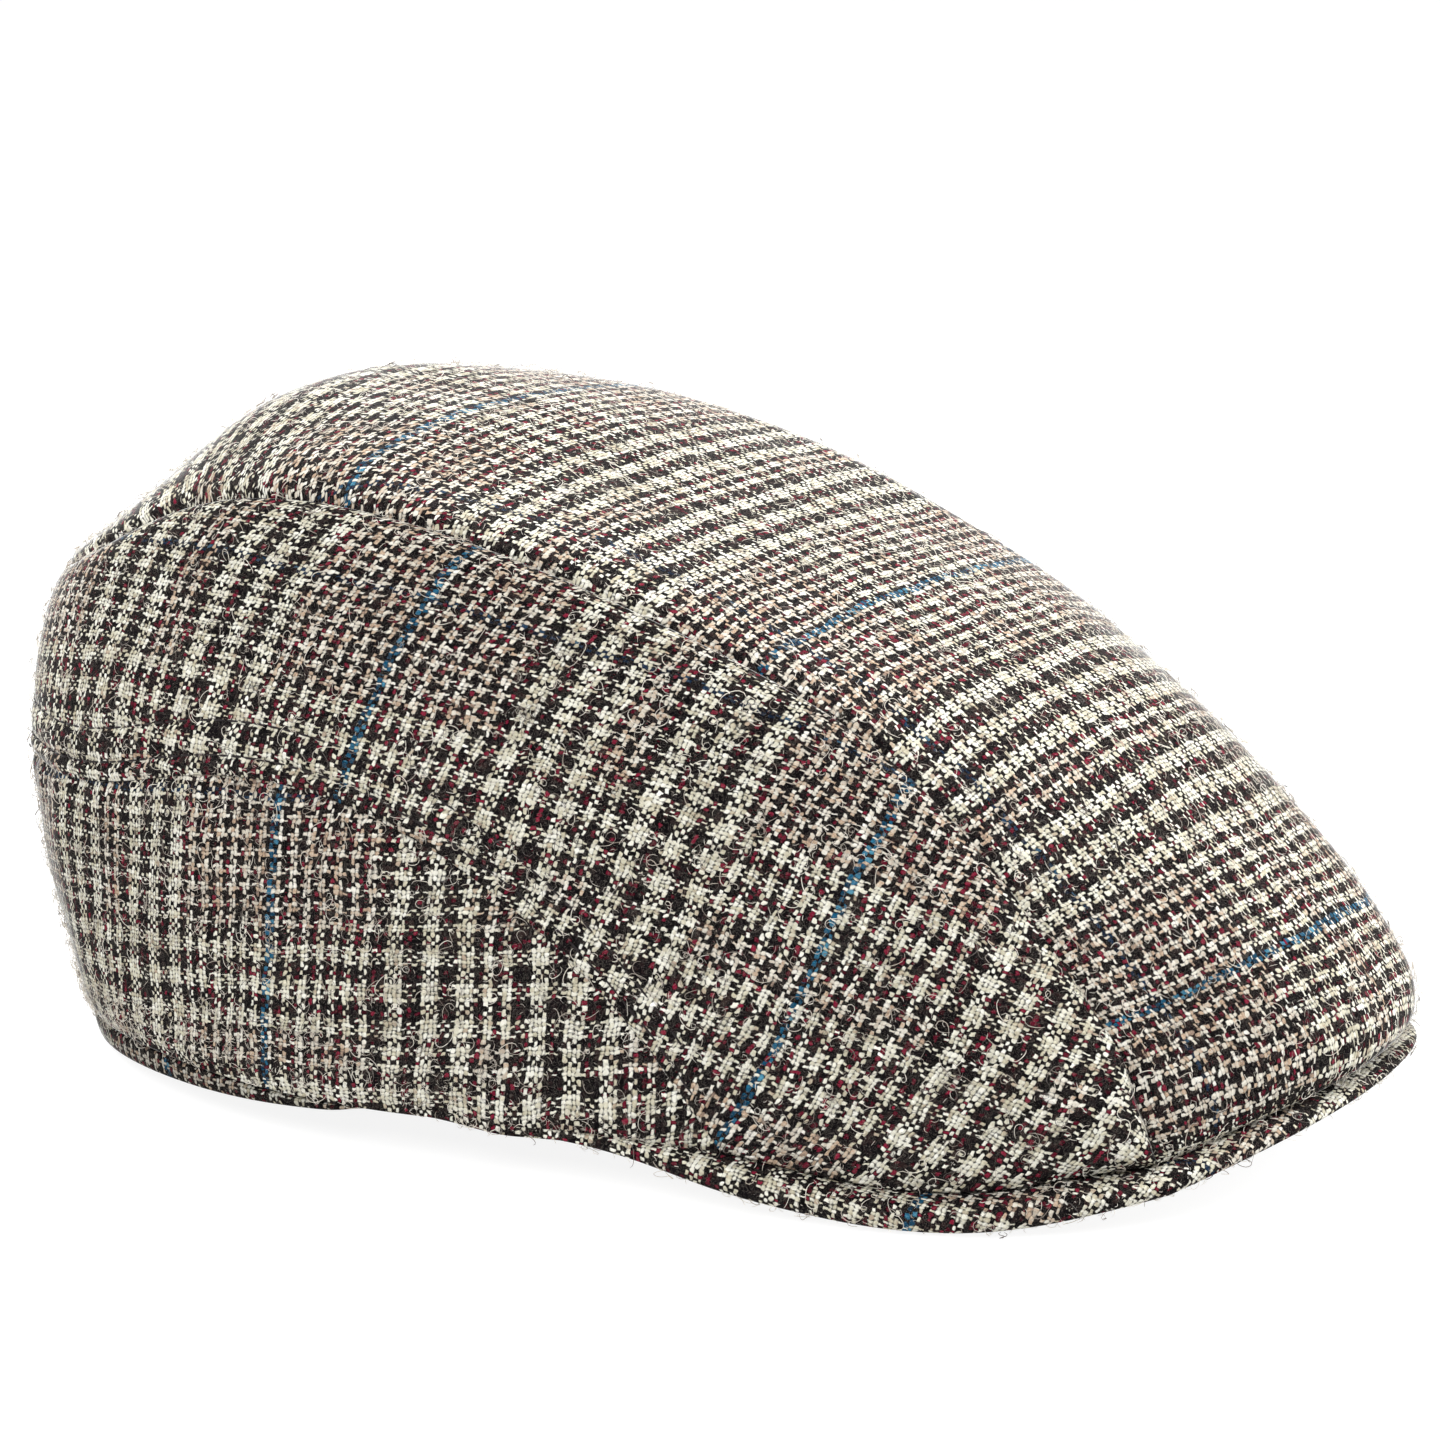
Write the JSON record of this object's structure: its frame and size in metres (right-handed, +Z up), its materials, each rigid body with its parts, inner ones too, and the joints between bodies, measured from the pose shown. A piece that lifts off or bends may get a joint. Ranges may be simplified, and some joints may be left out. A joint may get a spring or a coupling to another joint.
{
  "type": "flat cap with ear flap",
  "caption": "Soft cloth flat cap with a stiff rounded peak, a crown sewn from a top, two sides and a lower band, and an ear flap folded up inside the band",
  "frame": {"origin": "under the middle of the cap's length and width, on the surface that it rests on", "axes": "-Y is the way the peak points, -X is the wearer's right, +Z is up as the cap rests by itself on its folded rear edge and on the low sides of its peak"},
  "size_m": [0.1674, 0.2782, 0.1278],
  "materials": {
    "tweed": "matt woollen tweed with a glen check",
    "tweed_peak": "matt woollen tweed with a glen check over a stiff board",
    "flap_cloth": "matt woollen tweed, folded double"
  },
  "bodies": {
    "root": {"crown_top": "tweed", "side_right": "tweed", "side_left": "tweed", "band_right": "tweed", "band_left": "tweed", "peak": "tweed_peak", "ear_flap": "flap_cloth"}
  },
  "joints": []
}
